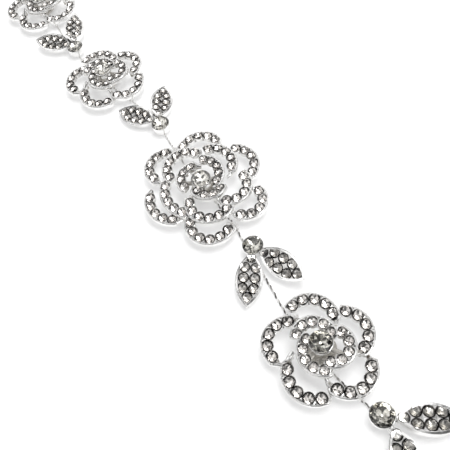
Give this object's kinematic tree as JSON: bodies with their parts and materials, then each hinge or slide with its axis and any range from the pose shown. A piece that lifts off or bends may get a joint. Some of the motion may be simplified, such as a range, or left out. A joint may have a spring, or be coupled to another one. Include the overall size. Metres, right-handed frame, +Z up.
{
  "type": "flexible rhinestone rose headband",
  "caption": "Flexible hair vine: openwork rhinestone roses and small leaf sprigs strung along one fine twisted wire, with a plain ring at each end.",
  "frame": {"origin": "on the surface that the band lies on, under the middle of its bounding box, below the large rose", "axes": "+X along the band towards the rose that the picture's lower edge cuts off, +Z up, out of the roses' faces"},
  "size_m": [0.246, 0.0301, 0.0069],
  "materials": {
    "silver": "polished silver plating on cast metal",
    "crystal": "clear cut glass with a foiled back",
    "wire": "bright twisted wire"
  },
  "bodies": {
    "root": {"rose_frame_1": "silver", "rose_frame_2": "silver", "rose_frame_3": "silver", "rose_frame_4": "silver", "rose_frame_5": "silver", "petal_stones_1": "crystal", "petal_stones_2": "crystal", "petal_stones_3": "crystal", "petal_stones_4": "crystal", "petal_stones_5": "crystal", "rose_centre_1": "crystal", "rose_centre_2": "crystal", "rose_centre_3": "crystal", "rose_centre_4": "crystal", "rose_centre_5": "crystal", "sprig_frame_1": "silver", "sprig_frame_2": "silver", "sprig_frame_3": "silver", "sprig_frame_4": "silver", "sprig_stone_1": "crystal", "sprig_stone_2": "crystal", "sprig_stone_3": "crystal", "sprig_stone_4": "crystal", "band_wire": "wire", "end_ring_1": "silver", "end_ring_2": "silver"}
  },
  "joints": []
}
